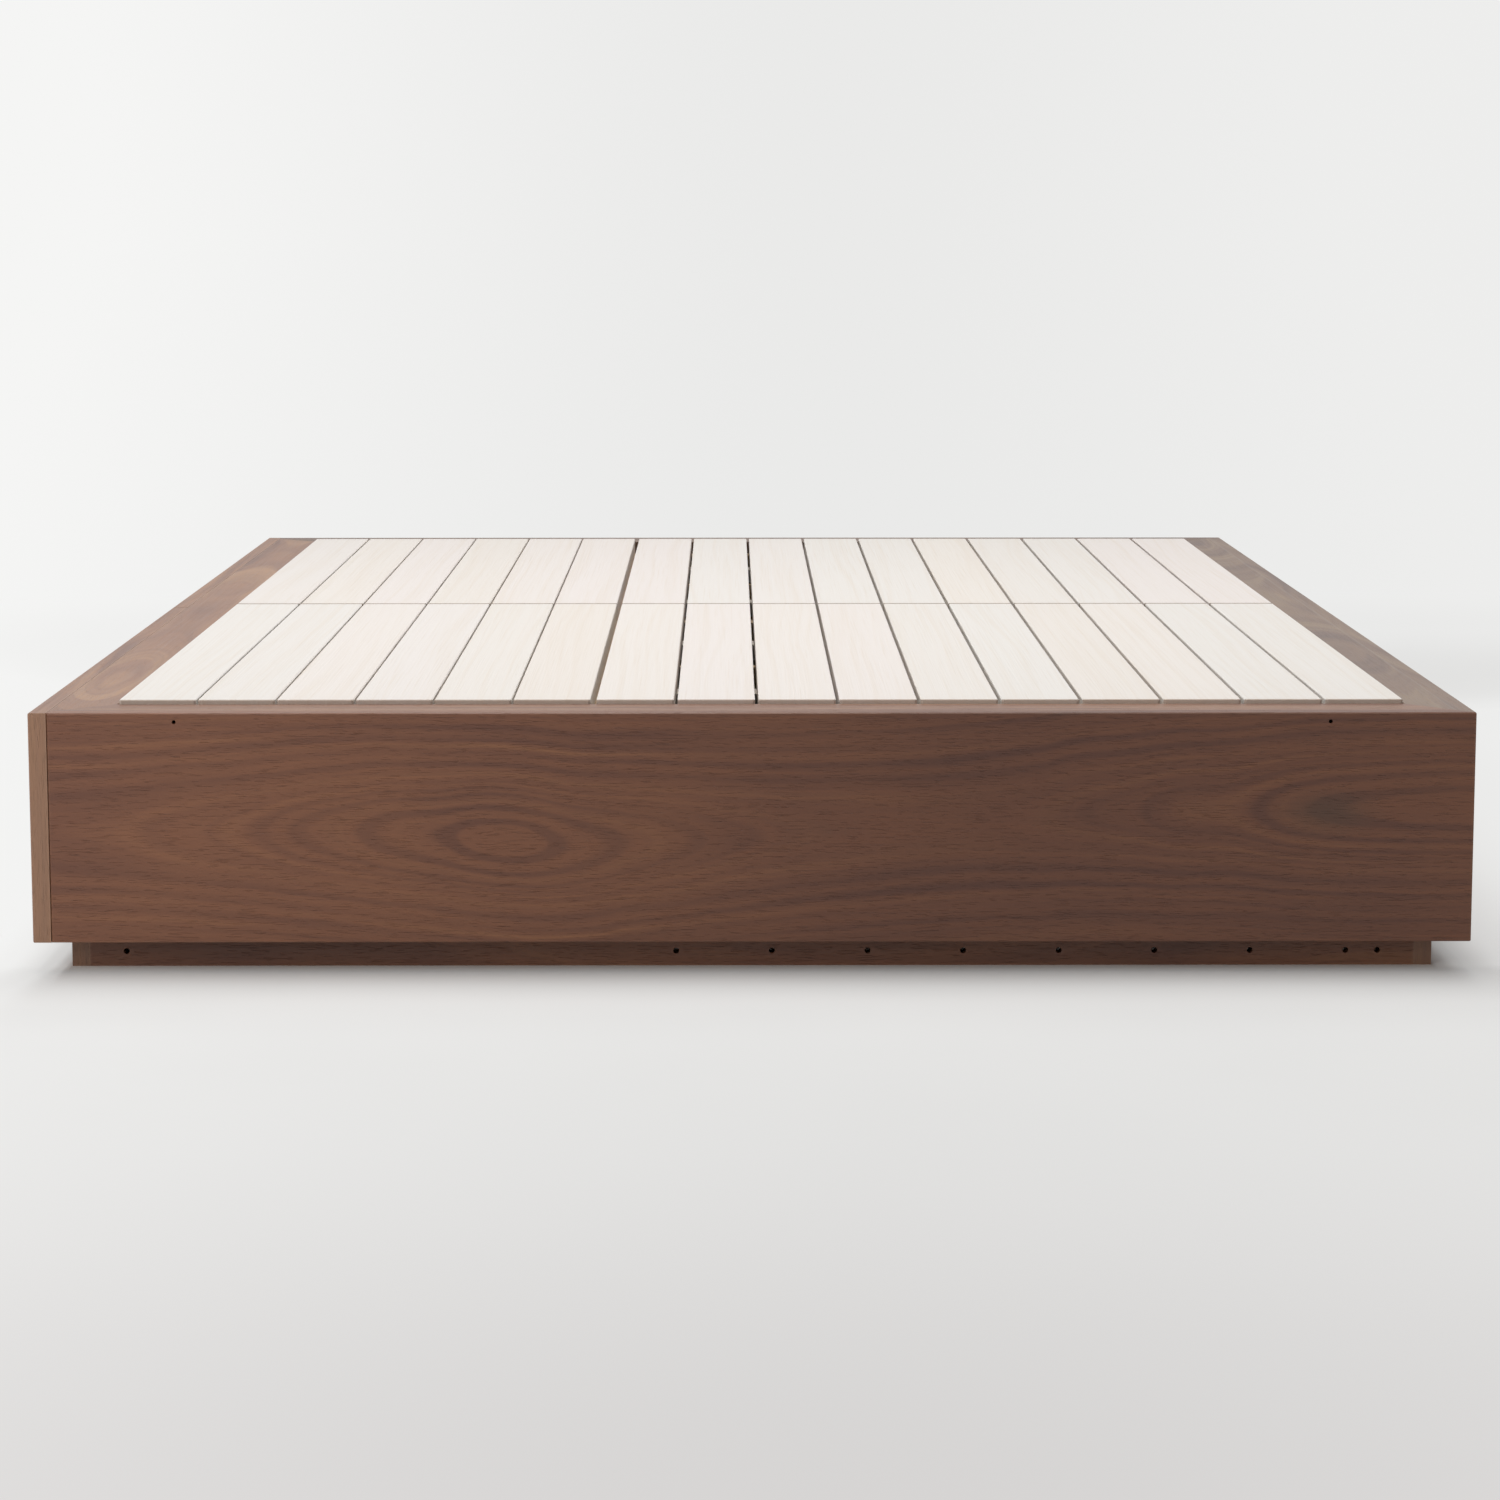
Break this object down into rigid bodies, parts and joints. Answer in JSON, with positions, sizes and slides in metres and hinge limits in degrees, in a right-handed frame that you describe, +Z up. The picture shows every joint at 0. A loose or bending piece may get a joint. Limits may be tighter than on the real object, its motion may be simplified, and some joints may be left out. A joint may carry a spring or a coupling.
{
  "type": "double bed",
  "caption": "Low double bed frame in walnut on a set-back plinth, with drawers along its left side and a deck of pale lengthwise slats in units that lift out.",
  "frame": {"origin": "on the floor under the middle of the bed", "axes": "+X across the bed away from the drawers, +Y along the bed from the head end to the foot end, +Z up"},
  "size_m": [1.43, 2.03, 0.2643],
  "materials": {
    "walnut": "satin",
    "slat_timber": "planed",
    "frame_timber": "planed",
    "inner_board": "satin",
    "drawer_board": "satin",
    "runner_timber": "waxed",
    "zinc_steel": "zinc plated"
  },
  "bodies": {
    "frame": {"head_panel": "walnut", "foot_panel": "walnut", "right_side_panel": "walnut", "head_top_rail": "walnut", "foot_top_rail": "walnut", "left_top_rail": "walnut", "right_top_rail": "walnut", "head_plinth": "walnut", "foot_plinth": "walnut", "left_plinth": "walnut", "right_plinth": "walnut", "head_base_rail": "inner_board", "foot_base_rail": "inner_board", "left_base_rail": "inner_board", "right_base_rail": "inner_board", "centre_divider": "inner_board", "drawer_partition": "inner_board", "middle_bearer": "inner_board", "head_left_bearer": "frame_timber", "head_right_bearer": "frame_timber", "head_ledger": "frame_timber", "head_corner_post": "frame_timber", "head_outer_runner": "runner_timber", "head_inner_runner": "runner_timber", "foot_left_bearer": "frame_timber", "foot_right_bearer": "frame_timber", "foot_ledger": "frame_timber", "foot_corner_post": "frame_timber", "foot_outer_runner": "runner_timber", "foot_inner_runner": "runner_timber", "bearer_brackets": "zinc_steel"},
    "head_drawer": {"head_drawer_front": "walnut", "head_drawer_inner_front": "drawer_board", "head_drawer_outer_side": "drawer_board", "head_drawer_inner_side": "drawer_board", "head_drawer_back": "drawer_board", "head_drawer_bottom": "drawer_board", "head_drawer_screws": "zinc_steel"},
    "foot_drawer": {"foot_drawer_front": "walnut", "foot_drawer_inner_front": "drawer_board", "foot_drawer_outer_side": "drawer_board", "foot_drawer_inner_side": "drawer_board", "foot_drawer_back": "drawer_board", "foot_drawer_bottom": "drawer_board", "foot_drawer_screws": "zinc_steel"},
    "head_left_slat_unit": {"head_left_slats": "slat_timber", "head_left_battens": "slat_timber"},
    "head_right_slat_unit": {"head_right_slats": "slat_timber", "head_right_battens": "slat_timber"},
    "foot_left_slat_unit": {"foot_left_slats": "slat_timber", "foot_left_battens": "slat_timber"},
    "foot_right_slat_unit": {"foot_right_slats": "slat_timber", "foot_right_battens": "slat_timber"}
  },
  "joints": [
    {"name": "head_drawer_slide", "type": "slide", "parent": "frame", "child": "head_drawer", "axis": [-1, 0, 0], "range_m": [0, 0.38]},
    {"name": "foot_drawer_slide", "type": "slide", "parent": "frame", "child": "foot_drawer", "axis": [-1, 0, 0], "range_m": [0, 0.38]},
    {"name": "head_left_slat_unit_lift", "type": "slide", "parent": "frame", "child": "head_left_slat_unit", "axis": [0, 0, 1], "range_m": [0, 0.3]},
    {"name": "head_right_slat_unit_lift", "type": "slide", "parent": "frame", "child": "head_right_slat_unit", "axis": [0, 0, 1], "range_m": [0, 0.3]},
    {"name": "foot_left_slat_unit_lift", "type": "slide", "parent": "frame", "child": "foot_left_slat_unit", "axis": [0, 0, 1], "range_m": [0, 0.3]},
    {"name": "foot_right_slat_unit_lift", "type": "slide", "parent": "frame", "child": "foot_right_slat_unit", "axis": [0, 0, 1], "range_m": [0, 0.3]}
  ]
}
